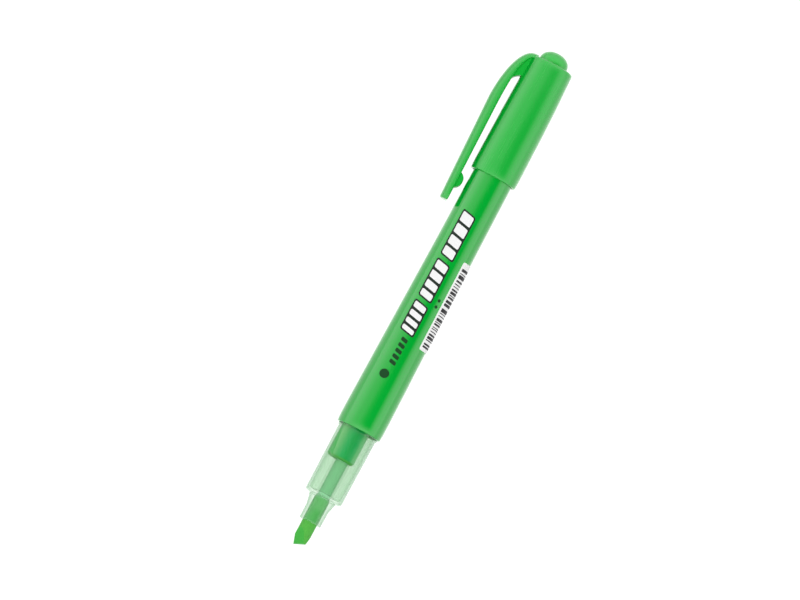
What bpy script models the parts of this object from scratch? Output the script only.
"""A slim capped highlighter, lying on a table with its cap posted on its tail.

The pen's own frame: Z runs along its axis from the nib's tip (0) to the cap's dome, Y points to the
clip and X finishes the right hand. Every piece is modelled there, then the whole pen is laid down:
in the world +X runs to the tail, +Y to the clip, +Z up, and the table is at z = 0 under its middle.
"""

import math

import bmesh
import bpy
from mathutils import Vector

MM = 0.001
SIDES = 48                      # facets round every turned piece
MERGE = 1e-7                    # points closer than this are one point
SMALL_ROUNDING = 0.45 * MM      # smaller corners take fewer facets
FIT = 0.10 * MM                 # hairline between pieces that are pressed together
SEAT = 0.15 * MM                # play of the inner cap inside the cap

# stations along the pen, from the nib's tip
NOSE_MOUTH = 6.5 * MM           # where the nib leaves the clear nose
NOSE_NECK = 10.3 * MM           # the nose starts to flare here
GRIP_END = 12.85 * MM           # the nib's thick part ends here
NOSE_BASE = 13.45 * MM          # the flare meets the collar's front step
SHANK_START = 13.85 * MM        # the nib is down to its thin shank here
RESERVOIR_FRONT = 23.6 * MM     # the ink rod's front end, inside the clear collar
FLANGE_FRONT = 31.5 * MM        # the collar's narrow flange, which stops on the barrel
SHOULDER = 32.1 * MM            # the barrel's front face, which stops the cap
SHANK_END = 32.6 * MM           # the nib's shank ends here, inside the ink rod
BARREL_STRAIGHT = 38.0 * MM     # the barrel is straight up to here
SPIGOT_END = 40.0 * MM          # the clear section ends here, inside the barrel
TAPER_TOP = 53.5 * MM           # the taper gets steeper behind here
TAPER_TAIL = 84.0 * MM          # and gentler again behind here
CAP_RIM = 103.1 * MM            # the posted cap's rim
CAP_STRAIGHT = 106.1 * MM       # the cap is straight up to here
CAP_BEND = 119.5 * MM           # the cap's taper gets steeper behind here
TAIL_END = 119.6 * MM           # end of the barrel
CAP_BORE_STEP = 121.0 * MM      # the cap's bore narrows behind here
CAP_SHOULDER = 126.0 * MM       # and the cap's taper is steepest behind here
CAP_TOP = 135.1 * MM            # the cap's flat end
DOME_TOP = 138.3 * MM           # the inner cap's dome

# radii of the pen
NIB_R = 1.95 * MM
SHANK_R = 1.6 * MM
NOSE_R = 2.93 * MM
NOSE_BASE_R = 3.67 * MM
COLLAR_FRONT_R = 4.94 * MM
COLLAR_BACK_R = 5.06 * MM
COLLAR_BORE_R = 4.4 * MM
FLANGE_R = 5.3 * MM
SLEEVE_R = 2.25 * MM            # the clear tube round the nib's shank
SLEEVE_BORE_R = 1.75 * MM
BARREL_R = 6.0 * MM
TAPER_TOP_R = 5.8 * MM
TAPER_TAIL_R = 5.39 * MM
TAIL_R = 5.15 * MM
BORE_FRONT_R = 4.9 * MM         # the barrel's bore behind the clear section
BORE_TAIL_R = 4.4 * MM          # and at its tail

# the chisel nib, ground flat on two sides to a slanted edge
EDGE_TURN = math.radians(45.0)  # the flats face this far round from straight up, towards the clip
EDGE_SLOPE = 0.27               # how fast the edge rises from its long corner to its short one
EDGE_HALF = 0.4 * MM            # half the width of the edge's land
GRIND_SLOPE = 0.4               # how fast each flat leaves the middle plane behind the edge
LONG_CORNER_Y = 1.1 * MM        # the long corner is eased from here on

# the ink rod, which lies against the bore on the clip's side
CORE_R = 3.45 * MM
WRAP_IN_R = 3.5 * MM
WRAP_OUT_R = 3.62 * MM
ROD_Y = 0.7 * MM

# the cap
RIM_R = 6.2 * MM
CAP_BEND_R = 6.08 * MM
CAP_SHOULDER_R = 5.94 * MM
CAP_TOP_R = 5.55 * MM
CAP_WALL = 0.78 * MM
CAP_BORE_STEP_R = 5.25 * MM
CAP_BORE_SHOULDER_R = 5.18 * MM
CAP_BORE_TOP_R = 4.85 * MM
END_WALL = 1.1 * MM
LINER_BORE_R = 5.2 * MM         # what the inner cap's ring is gauged to
LINER_MOUTH = 121.7 * MM
LINER_WALL = 0.7 * MM
DOME_R = 3.7 * MM

# the clip, whose distances are from the pen's axis
CLIP_END = 93.0 * MM
CLIP_CREST = 121.0 * MM         # the clip stands furthest out here, and its arch starts
ARCH_TOP = 135.7 * MM
ARCH_FOOT_Y = 4.5 * MM          # where the arch has levelled out on the cap's end
CLIP_END_Y = 9.5 * MM
CLIP_CREST_Y = 10.43 * MM
CLIP_END_THICK = 2.1 * MM
CLIP_THICK = 2.72 * MM
ARCH_THICK = 1.3 * MM
CLIP_HALF_WIDTH = 2.6 * MM
CLIP_EDGE = 0.12                # share of the clip's thickness that is flat-sided, below its crown
FLEX = 127.0 * MM               # the clip bends here, at its root
FLEX_GAP = 0.15 * MM
HINGE_DEPTH = 0.55 * MM         # the bend's axis, below the crest
WEB_HALF_WIDTH = 1.9 * MM
WEB_FOOT = FLEX + 0.4 * MM      # the web starts here
WEB_IN_Y = 5.1 * MM             # and is rooted this deep in the cap's wall
WEB_OUT_Y = 8.3 * MM
WEB_SLOT_Y = 7.5 * MM           # from here in, the slot's rounded end cuts into it
WEB_SLOT_RISE = 1.6 * MM
BUMP_Z = 98.7 * MM
BUMP_Y = 8.2 * MM
BUMP_R = 2.08 * MM

# the label, whose angles run from straight up towards the side away from the clip
LABEL_FRONT = 56.8 * MM
LABEL_BACK = 81.1 * MM
LABEL_FROM = math.radians(39.5)
LABEL_TO = math.radians(165.0)
LABEL_THICK = 0.12 * MM
LABEL_GAP = 0.08 * MM

AXIS_HEIGHT = RIM_R                     # the pen lies on the cap's rim
AXIS_Y = (RIM_R - CLIP_CREST_Y) / 2     # the middle of the pen with its clip is over the origin

GREEN = (0.035, 0.42, 0.045)
INK_GREEN = (0.10, 0.48, 0.06)


def clear_scene():
    for old in list(bpy.data.objects):
        bpy.data.objects.remove(old, do_unlink=True)


def material(name, colour, roughness, alpha=1.0):
    look = bpy.data.materials.new(name)
    look.use_nodes = True
    shader = look.node_tree.nodes["Principled BSDF"]
    shader.inputs["Base Color"].default_value = (*colour, 1.0)
    shader.inputs["Roughness"].default_value = roughness
    shader.inputs["Metallic"].default_value = 0.0
    shader.inputs["Alpha"].default_value = alpha
    return look


def rounded(points):
    """The outline through points of (radius, height) or (radius, height, rounding): each corner with a
    rounding becomes an arc that leaves both of its sides that far from the corner."""
    outline = []
    for i, point in enumerate(points):
        corner = Vector(point[:2])
        if len(point) == 2:
            outline.append(corner)
            continue
        steps = 2 if point[2] < SMALL_ROUNDING else 4
        before = (Vector(points[i - 1][:2]) - corner).normalized() * point[2]
        after = (Vector(points[(i + 1) % len(points)][:2]) - corner).normalized() * point[2]
        for k in range(steps + 1):
            t = k / steps
            outline.append(corner + before * (1 - t) ** 2 + after * t ** 2)
    return outline


def arc(centre, radii, start, end, steps):
    """Points on an ellipse about centre, from one angle to another, in degrees."""
    points = []
    for k in range(steps + 1):
        angle = math.radians(start + (end - start) * k / steps)
        points.append((centre[0] + radii[0] * math.cos(angle), centre[1] + radii[1] * math.sin(angle)))
    return points


def on_line(z, start, end):
    """The radius at height z on the straight line between two (radius, height) points."""
    return start[0] + (end[0] - start[0]) * (z - start[1]) / (end[1] - start[1])


def finished(name, bm, look, parent, origin=Vector((0, 0, 0))):
    """Closes the mesh, shades it smooth and places it under its parent with its origin at that point."""
    bmesh.ops.remove_doubles(bm, verts=bm.verts, dist=MERGE)
    bmesh.ops.recalc_face_normals(bm, faces=bm.faces)
    bmesh.ops.translate(bm, verts=bm.verts, vec=-origin)
    mesh = bpy.data.meshes.new(name)
    bm.to_mesh(mesh)
    bm.free()
    mesh.shade_smooth()
    mesh.set_sharp_from_angle(angle=math.radians(30))
    mesh.materials.append(look)
    piece = bpy.data.objects.new(name, mesh)
    bpy.context.scene.collection.objects.link(piece)
    piece.parent = parent
    piece.location = origin - parent_origin(parent)
    return piece


def parent_origin(parent):
    """The parent's place in the pen's frame. The pen's own empty is that frame's origin."""
    return Vector((0, 0, 0)) if parent.parent is None else parent.location.copy()


def turned(outline):
    """A body of revolution about the pen's axis from a closed outline."""
    bm = bmesh.new()
    points = [bm.verts.new((p[0], 0.0, p[1])) for p in outline]
    sides = zip(points, points[1:] + points[:1])
    # a side that lies on the axis sweeps nothing
    edges = [bm.edges.new((a, b)) for a, b in sides if a.co.x > MERGE or b.co.x > MERGE]
    bmesh.ops.spin(bm, geom=points + edges, cent=(0, 0, 0), axis=(0, 0, 1),
                   angle=2 * math.pi, steps=SIDES, use_merge=True)
    return bm


def shifted(bm, y):
    """The body moved sideways towards the clip."""
    bmesh.ops.translate(bm, verts=bm.verts, vec=(0, y, 0))
    return bm


def lofted(sections):
    """A closed body through sections, each a loop of the same number of points."""
    bm = bmesh.new()
    rings = [[bm.verts.new(p) for p in section] for section in sections]
    count = len(rings[0])
    for low, high in zip(rings, rings[1:]):
        for i in range(count):
            j = (i + 1) % count
            bm.faces.new((low[i], low[j], high[j], high[i]))
    bm.faces.new(rings[0])
    bm.faces.new(rings[-1])
    return bm


def plate(outline, half_width):
    """A flat plate across the pen's X axis from its outline of (y, z) points."""
    return lofted([[(x, y, z) for y, z in outline] for x in (-half_width, half_width)])


def slice_off(bm, point, outward):
    """Cuts a convex body with a plane, throws away what is outside it and closes the cut."""
    everything = list(bm.verts) + list(bm.edges) + list(bm.faces)
    cut = bmesh.ops.bisect_plane(bm, geom=everything, plane_co=point, plane_no=outward,
                                 dist=MERGE, clear_outer=True)
    rim = [e for e in cut["geom_cut"] if isinstance(e, bmesh.types.BMEdge)]
    bmesh.ops.contextual_create(bm, geom=rim)


def combined(name, operation, bodies, look, parent, origin=Vector((0, 0, 0))):
    """One solid from several: the first, with the others united to it or taken away from it."""
    piece = finished(name, bodies[0], look, parent, origin)
    for i, body in enumerate(bodies[1:], 1):
        helper = finished(f"{name}_helper_{i}", body, look, parent, origin)
        helper.hide_render = True
        helper.display_type = "WIRE"
        step = piece.modifiers.new(f"{operation.lower()}_{i}", "BOOLEAN")
        step.operation = operation
        step.solver = "EXACT"
        step.object = helper
    return piece


def empty(name, parent, location, rotation=(0.0, 0.0, 0.0)):
    frame = bpy.data.objects.new(name, None)
    bpy.context.scene.collection.objects.link(frame)
    frame.parent = parent
    frame.location = location
    frame.rotation_euler = rotation
    return frame


# the pen --------------------------------------------------------------------------------------------

def barrel_radius(z):
    """The barrel's outer radius along its taper."""
    bends = [(BARREL_R, BARREL_STRAIGHT), (TAPER_TOP_R, TAPER_TOP),
             (TAPER_TAIL_R, TAPER_TAIL), (TAIL_R, TAIL_END)]
    if z <= BARREL_STRAIGHT:
        return BARREL_R
    for low, high in zip(bends, bends[1:]):
        if z <= high[1]:
            return on_line(z, low, high)
    return TAIL_R


def barrel(pen, look):
    """The opaque tapered tube, with the recess and socket that take the clear section."""
    socket_r = COLLAR_BACK_R + FIT
    socket_end = SPIGOT_END + FIT
    recess_r = FLANGE_R + FIT
    recess_end = SHOULDER + 0.5 * MM
    lip_inset = 0.1 * MM
    outline = rounded([
        (recess_r, SHOULDER),
        (BARREL_R - lip_inset, SHOULDER, 0.15 * MM),
        (BARREL_R, SHOULDER + 1.0 * MM),
        (BARREL_R, BARREL_STRAIGHT),
        (TAPER_TOP_R, TAPER_TOP),
        (TAPER_TAIL_R, TAPER_TAIL),
        (TAIL_R, TAIL_END),
        (BORE_TAIL_R, TAIL_END),
        (BORE_FRONT_R, socket_end),
        (socket_r, socket_end),
        (socket_r, recess_end),
        (recess_r, recess_end),
    ])
    return finished("barrel", turned(outline), look, pen)


def tail_plug(pen, look):
    """The plug that closes the barrel behind the reservoir. The posted cap hides it."""
    flange_z = TAIL_END + FIT
    flange_end = flange_z + 1.2 * MM
    flange_r = TAIL_R - 0.05 * MM
    spigot_r = BORE_TAIL_R - FIT
    spigot_end = TAIL_END - 5.2 * MM
    cup_r = spigot_r - 0.9 * MM
    cup_end = flange_z - 0.4 * MM
    outline = rounded([
        (0.0, flange_end),
        (flange_r, flange_end, 0.5 * MM),
        (flange_r, flange_z),
        (spigot_r, flange_z),
        (spigot_r, spigot_end, 0.3 * MM),
        (cup_r, spigot_end),
        (cup_r, cup_end),
        (0.0, cup_end),
    ])
    return finished("tail_plug", turned(outline), look, pen)


def front_section(pen, look):
    """The clear nose and collar, one moulding. The nose grips the nib and the spigot sits in the barrel.
    Inside, a tube carries the nib's shank up to the ink rod."""
    nib_bore = NIB_R + FIT
    flange_end = SHOULDER + 0.35 * MM
    floor_z = NOSE_BASE + 0.9 * MM
    sleeve_end = RESERVOIR_FRONT - 0.3 * MM
    throat = (nib_bore - SLEEVE_BORE_R) / (NIB_R - SHANK_R) * (SHANK_START - GRIP_END)
    flare = [(NOSE_R + (NOSE_BASE_R - NOSE_R) * t ** 1.25, NOSE_NECK + (NOSE_BASE - NOSE_NECK) * t)
             for t in (0.0, 0.25, 0.5, 0.75, 1.0)]
    outline = rounded(
        [(nib_bore, NOSE_MOUTH, 0.12 * MM), (NOSE_R - 0.03 * MM, NOSE_MOUTH, 0.3 * MM)]
        + flare
        + [
            (COLLAR_FRONT_R, NOSE_BASE + 0.1 * MM, 0.5 * MM),
            (COLLAR_BACK_R, FLANGE_FRONT),
            (FLANGE_R, FLANGE_FRONT, 0.1 * MM),
            (FLANGE_R, flange_end),
            (COLLAR_BACK_R, flange_end),
            (COLLAR_BACK_R, SPIGOT_END, 0.2 * MM),
            (COLLAR_BORE_R, SPIGOT_END),
            (COLLAR_BORE_R, RESERVOIR_FRONT - 0.8 * MM),
            (COLLAR_BORE_R - 0.15 * MM, floor_z, 0.4 * MM),
            (SLEEVE_R, floor_z),
            (SLEEVE_R, sleeve_end),
            (SLEEVE_BORE_R, sleeve_end),
            (SLEEVE_BORE_R, GRIP_END + throat),
            (nib_bore, GRIP_END),
        ])
    return finished("front_section", turned(outline), look, pen)


def nib(pen, look):
    """The fibre chisel nib: a round rod, ground to a slanted edge, with a slimmer shank that feeds it."""
    stock = -2.0 * MM
    bm = turned(rounded([
        (0.0, stock),
        (NIB_R, stock),
        (NIB_R, GRIP_END),
        (SHANK_R, SHANK_START),
        (SHANK_R, SHANK_END, 0.4 * MM),
        (0.0, SHANK_END),
    ]))
    bmesh.ops.remove_doubles(bm, verts=bm.verts, dist=MERGE)
    facing = Vector((-math.cos(EDGE_TURN), math.sin(EDGE_TURN), 0))
    to_short_corner = Vector((-math.sin(EDGE_TURN), -math.cos(EDGE_TURN), 0))
    up = Vector((0, 0, 1))
    long_corner = to_short_corner * -NIB_R
    slice_off(bm, long_corner, to_short_corner * EDGE_SLOPE - up)
    for side in (-1, 1):
        outward = facing * side - (up - to_short_corner * EDGE_SLOPE) * GRIND_SLOPE
        slice_off(bm, long_corner + facing * side * EDGE_HALF, outward)
    slice_off(bm, Vector((0, LONG_CORNER_Y, 0)), (0, 0.94, -0.33))
    return finished("nib", bm, look, pen)


def reservoir_core(pen, look):
    """The fibre rod that holds the ink. The nib's shank is pushed into its front end."""
    back = TAIL_END - 6.0 * MM
    rod = turned(rounded([
        (0.0, RESERVOIR_FRONT),
        (CORE_R, RESERVOIR_FRONT, 0.5 * MM),
        (CORE_R, back, 0.3 * MM),
        (0.0, back),
    ]))
    pocket_r = SHANK_R + FIT
    pocket = turned([
        (0.0, RESERVOIR_FRONT - 1.0 * MM),
        (pocket_r, RESERVOIR_FRONT - 1.0 * MM),
        (pocket_r, SHANK_END + 0.3 * MM),
        (0.0, SHANK_END + 0.3 * MM),
    ])
    return combined("reservoir_core", "DIFFERENCE", [shifted(rod, ROD_Y), pocket], look, pen)


def reservoir_wrap(pen, look):
    """The plastic film round the fibre rod, open at both ends."""
    front = RESERVOIR_FRONT + 0.5 * MM
    back = TAIL_END - 6.4 * MM
    outline = [(WRAP_IN_R, front), (WRAP_OUT_R, front), (WRAP_OUT_R, back), (WRAP_IN_R, back)]
    return finished("reservoir_wrap", shifted(turned(outline), ROD_Y), look, pen)


def barcode_label(pen, look):
    """The sticker that follows the barrel round from its upper side to its underside."""
    steps = 16
    sections = []
    for z in (LABEL_FRONT, LABEL_BACK):
        low = barrel_radius(z) + LABEL_GAP
        section = []
        for radius, order in ((low, range(steps + 1)), (low + LABEL_THICK, range(steps, -1, -1))):
            for k in order:
                angle = LABEL_FROM + (LABEL_TO - LABEL_FROM) * k / steps
                section.append((-radius * math.cos(angle), -radius * math.sin(angle), z))
        sections.append(section)
    return finished("barcode_label", lofted(sections), look, pen)


# the cap --------------------------------------------------------------------------------------------

def clip_band():
    """The whole clip, from below its free end up over the arch to the dome, as one lofted body.
    Its section is flat on the inside and crowned on the outside."""
    arm_steps = 6
    arch_steps = 14
    stations = []
    for k in range(-1, arm_steps):
        t = k / arm_steps
        y = CLIP_END_Y + (CLIP_CREST_Y - CLIP_END_Y) * t
        z = CLIP_END + (CLIP_CREST - CLIP_END) * t
        stations.append((y, z, CLIP_END_THICK + (CLIP_THICK - CLIP_END_THICK) * t))
    for k in range(arch_steps + 1):
        angle = math.radians(90.0 * k / arch_steps)
        y = ARCH_FOOT_Y + (CLIP_CREST_Y - ARCH_FOOT_Y) * max(math.cos(angle), 0.0) ** 0.85
        z = CLIP_CREST + (ARCH_TOP - CLIP_CREST) * math.sin(angle)
        stations.append((y, z, CLIP_THICK + (ARCH_THICK - CLIP_THICK) * math.sin(angle) ** 3))
    stations.append((DOME_R + 0.35 * MM, ARCH_TOP, ARCH_THICK))
    sections = []
    for i, (y, z, thick) in enumerate(stations):
        before, after = stations[max(i - 1, 0)], stations[min(i + 1, len(stations) - 1)]
        along = Vector((0, after[0] - before[0], after[1] - before[1])).normalized()
        outward = Vector((0, along.z, -along.y))
        sections.append(clip_section(Vector((0, y, z)), outward, thick))
    return lofted(sections)


def clip_section(crest, outward, thick):
    """One section of the clip: crest is the middle of its crowned outside."""
    side = CLIP_EDGE * thick
    foot = crest - outward * thick
    shape = [(-1.0, 0.0), (-1.0, side)]
    shape += [(-math.cos(angle), side + (thick - side) * math.sin(angle))
              for angle in [math.pi * k / 8 for k in range(1, 8)]]
    shape += [(1.0, side), (1.0, 0.0)]
    return [foot + outward * height + Vector((across * CLIP_HALF_WIDTH, 0, 0)) for across, height in shape]


def clip_web():
    """The thin plate that fills the corner under the arch, down to the slot's rounded end."""
    slot_end = arc((WEB_IN_Y, WEB_FOOT), (WEB_SLOT_Y - WEB_IN_Y, WEB_SLOT_RISE), 0, 90, 4)
    under_arch = [(WEB_IN_Y, CAP_TOP - 0.6 * MM), (WEB_IN_Y + 1.1 * MM, CAP_TOP - 1.0 * MM),
                  (WEB_SLOT_Y, CAP_TOP - 3.0 * MM)]
    return plate([(WEB_OUT_Y, WEB_FOOT)] + slot_end + under_arch, WEB_HALF_WIDTH)


def cap_shell(cap, look):
    """The cap's tube with its end wall, a hole for the inner cap's dome, and the root of the clip."""
    hole = DOME_R + FIT
    bore = RIM_R - CAP_WALL
    inside_end = CAP_TOP - END_WALL
    shell = turned(rounded([
        (bore, CAP_RIM, 0.15 * MM),
        (RIM_R, CAP_RIM, 0.2 * MM),
        (RIM_R, CAP_STRAIGHT),
        (CAP_BEND_R, CAP_BEND),
        (CAP_SHOULDER_R, CAP_SHOULDER),
        (CAP_TOP_R, CAP_TOP, 0.8 * MM),
        (hole, CAP_TOP),
        (hole, inside_end),
        (CAP_BORE_TOP_R, inside_end, 0.5 * MM),
        (CAP_BORE_SHOULDER_R, CAP_SHOULDER),
        (CAP_BORE_STEP_R, CAP_BORE_STEP),
    ]))
    root = clip_band()
    slice_off(root, Vector((0, 0, FLEX + FLEX_GAP / 2)), (0, 0, -1))
    return combined("cap_shell", "UNION", [shell, root, clip_web()], look, cap, Vector((0, 0, CAP_RIM)))


def inner_cap(cap, look):
    """The liner that seals round the nose. Its closed end stands out of the cap's end as a dome."""
    ring_r = LINER_BORE_R - SEAT
    ring_end = LINER_MOUTH + 1.6 * MM
    cone_end = LINER_MOUTH + 4.0 * MM
    mouth_r = NOSE_BASE_R + 0.25 * MM
    bore = DOME_R - LINER_WALL
    stop_r = DOME_R + 0.6 * MM
    stop_z = CAP_TOP - END_WALL - FIT
    dome_z = CAP_TOP + 0.5 * MM
    outside = arc((0, dome_z), (DOME_R, DOME_TOP - dome_z), 0, 90, 7)
    inside = arc((0, dome_z), (bore, DOME_TOP - dome_z - 0.9 * MM), 90, 0, 4)
    outline = rounded([
        (mouth_r, LINER_MOUTH, 0.15 * MM),
        (ring_r, LINER_MOUTH, 0.2 * MM),
        (ring_r, ring_end, 0.2 * MM),
        (DOME_R, cone_end),
        (DOME_R, stop_z - 1.5 * MM),
        (stop_r, stop_z - 1.2 * MM),
        (stop_r, stop_z),
        (DOME_R, stop_z),
    ]) + outside + inside + [(bore, cone_end)]
    return finished("inner_cap", turned(outline), look, cap, Vector((0, 0, CAP_RIM)))


def cap_clip(clip, look, hinge):
    """The clip's free arm, with the bump inside its end that bites on a pocket's hem."""
    arm = clip_band()
    slice_off(arm, Vector((0, 0, FLEX - FLEX_GAP / 2)), (0, 0, 1))
    slice_off(arm, Vector((0, 0, CLIP_END)), (0, 0, -1))
    bump = plate(arc((BUMP_Y, BUMP_Z), (BUMP_R, BUMP_R), 90, 270, 12), WEB_HALF_WIDTH)
    return combined("cap_clip", "UNION", [arm, bump], look, clip, hinge)


def build():
    clear_scene()
    pen = empty("pen_frame", None, (-DOME_TOP / 2, AXIS_Y, AXIS_HEIGHT), (0.0, math.pi / 2, 0.0))
    cap = empty("cap_frame", pen, (0, 0, CAP_RIM))
    hinge = Vector((0, CLIP_CREST_Y - HINGE_DEPTH, FLEX))
    clip = empty("clip_frame", pen, hinge)

    barrel(pen, material("green_plastic", GREEN, 0.28))
    tail_plug(pen, material("plug_plastic", GREEN, 0.4))
    front_section(pen, material("clear_plastic", (0.72, 0.88, 0.74), 0.2, alpha=0.4))
    nib(pen, material("nib_fibre", INK_GREEN, 0.7))
    reservoir_core(pen, material("reservoir_fibre", INK_GREEN, 0.9))
    reservoir_wrap(pen, material("film", (0.75, 0.9, 0.75), 0.3, alpha=0.6))
    barcode_label(pen, material("label_paper", (0.85, 0.86, 0.85), 0.55))
    cap_shell(cap, material("cap_plastic", GREEN, 0.28))
    inner_cap(cap, material("liner_plastic", GREEN, 0.32))
    cap_clip(clip, material("clip_plastic", GREEN, 0.28), hinge)


build()
